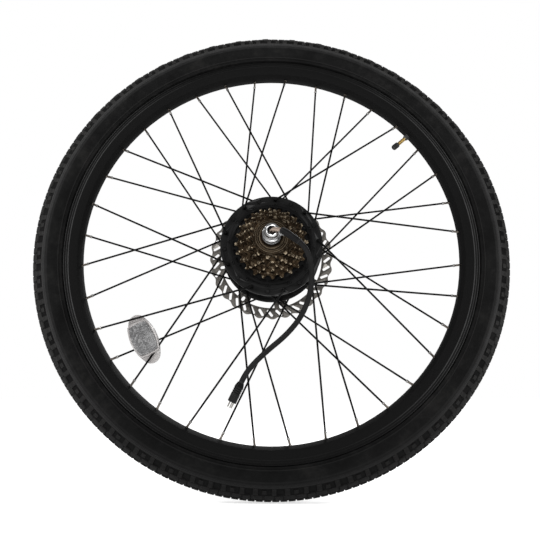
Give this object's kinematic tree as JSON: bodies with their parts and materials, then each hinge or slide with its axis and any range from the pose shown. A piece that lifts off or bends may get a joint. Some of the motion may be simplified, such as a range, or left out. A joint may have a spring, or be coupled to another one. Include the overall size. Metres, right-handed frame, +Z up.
{
  "type": "hub motor wheel",
  "caption": "Spoked rear bicycle wheel with a geared hub motor, multi-speed freewheel, brake disc, tyre, reflector and motor cable.",
  "frame": {"origin": "centre of the wheel, on the axle line, midway between the axle's two ends", "axes": "+Z up, +Y along the axle towards the brake disc, so the chain side faces -Y"},
  "size_m": [0.661, 0.2052, 0.661],
  "materials": {
    "tyre_rubber": "matt tread rubber with a smooth sidewall",
    "tube_rubber": "plain butyl rubber",
    "rim_black": "satin black anodised",
    "tape": "thin rim tape",
    "spoke_black": "black coated wire",
    "nipple_silver": "nickel plated",
    "valve_brass": "bright brass, rubber-covered root",
    "cap_black": "knurled black plastic",
    "reflector_white": "milky translucent plastic",
    "reflector_lens": "prismatic grey lens",
    "shell_black": "satin black painted cast alloy",
    "screw_steel": "blackened steel",
    "seal_rubber": "lip seal rubber",
    "disc_steel": "ground stainless steel",
    "bearing_steel": "ground bearing steel",
    "axle_steel": "machined steel",
    "nut_chrome": "polished chrome plate",
    "iron_core": "laminated electrical steel",
    "coil_copper": "enamelled copper wire",
    "board_green": "glass fibre circuit board",
    "magnet_nickel": "nickel plated magnet",
    "gear_nylon": "reinforced nylon",
    "gear_steel": "hardened steel",
    "carrier_alloy": "machined alloy",
    "sprocket_bronze": "bronze-brown plated steel",
    "protector_black": "moulded black plastic",
    "wire_tan": "tan silicone wire",
    "cable_black": "grey-black jacket",
    "plug_black": "moulded black plastic",
    "pin_tin": "tinned brass pins"
  },
  "bodies": {
    "axle": {"axle": "axle_steel", "axle_spacer_drive": "axle_steel", "axle_spacer_left": "axle_steel", "tab_washers": "axle_steel", "axle_nut_drive": "nut_chrome", "axle_nut_left": "nut_chrome", "hub_bearing_inner_races": "bearing_steel", "rotor_bearing_inner_races": "bearing_steel", "bearing_balls": "bearing_steel", "stator_hub": "carrier_alloy", "stator_core": "iron_core", "stator_coils": "coil_copper", "hall_sensor_board": "board_green", "planet_carrier": "carrier_alloy", "planet_pins": "gear_steel", "phase_wires": "wire_tan", "cable_boot": "cable_black", "motor_cable": "cable_black", "plug_body": "plug_black", "plug_pins": "pin_tin"},
    "wheel": {"brake_disc": "disc_steel", "brake_disc_bolts": "screw_steel", "cover_screws": "screw_steel", "drive_cover": "shell_black", "freewheel_balls": "bearing_steel", "freewheel_core": "sprocket_bronze", "freewheel_lockring": "sprocket_bronze", "freewheel_pawls": "gear_steel", "hub_bearing_outer_races": "bearing_steel", "hub_seals": "seal_rubber", "hub_shell": "shell_black", "inner_tube": "tube_rubber", "nipples": "nipple_silver", "reflector_body": "reflector_white", "reflector_lens": "reflector_lens", "rim": "rim_black", "rim_tape": "tape", "ring_gear": "gear_steel", "spoke_protector": "protector_black", "spokes_drive": "spoke_black", "spokes_left": "spoke_black", "tyre": "tyre_rubber", "valve_cap": "cap_black", "valve_stem": "valve_brass"},
    "freewheel": {"sprocket_14t": "sprocket_bronze", "sprocket_16t": "sprocket_bronze", "sprocket_18t": "sprocket_bronze", "sprocket_20t": "sprocket_bronze", "sprocket_22t": "sprocket_bronze", "sprocket_24t": "sprocket_bronze", "sprocket_spacers": "sprocket_bronze", "freewheel_body": "sprocket_bronze"},
    "motor_rotor": {"rotor_can": "axle_steel", "rotor_magnets": "magnet_nickel", "sun_gear": "gear_steel", "rotor_bearing_outer_races": "bearing_steel"},
    "planet_1": {"planet_gear_1": "gear_nylon"},
    "planet_2": {"planet_gear_2": "gear_nylon"},
    "planet_3": {"planet_gear_3": "gear_nylon"}
  },
  "joints": [
    {"name": "wheel_spin", "type": "hinge", "parent": "axle", "child": "wheel", "pos_m": [0, 0, 0], "axis": [0, 1, 0], "continuous": true},
    {"name": "freewheel_spin", "type": "hinge", "parent": "wheel", "child": "freewheel", "pos_m": [0, -0.045, 0], "axis": [0, 1, 0], "continuous": true},
    {"name": "rotor_spin", "type": "hinge", "parent": "axle", "child": "motor_rotor", "pos_m": [0, 0.01, 0], "axis": [0, 1, 0], "continuous": true},
    {"name": "planet_spin_1", "type": "hinge", "parent": "axle", "child": "planet_1", "pos_m": [0, -0.0105, 0.027], "axis": [0, 1, 0], "continuous": true},
    {"name": "planet_spin_2", "type": "hinge", "parent": "axle", "child": "planet_2", "pos_m": [-0.02338, -0.0105, -0.0135], "axis": [0, 1, 0], "continuous": true},
    {"name": "planet_spin_3", "type": "hinge", "parent": "axle", "child": "planet_3", "pos_m": [0.02338, -0.0105, -0.0135], "axis": [0, 1, 0], "continuous": true}
  ],
  "couplings": [
    {"joint": "rotor_spin", "follows": "wheel_spin", "ratio": -5},
    {"joint": "planet_spin_1", "follows": "wheel_spin", "ratio": 2.5},
    {"joint": "planet_spin_2", "follows": "wheel_spin", "ratio": 2.5},
    {"joint": "planet_spin_3", "follows": "wheel_spin", "ratio": 2.5}
  ]
}
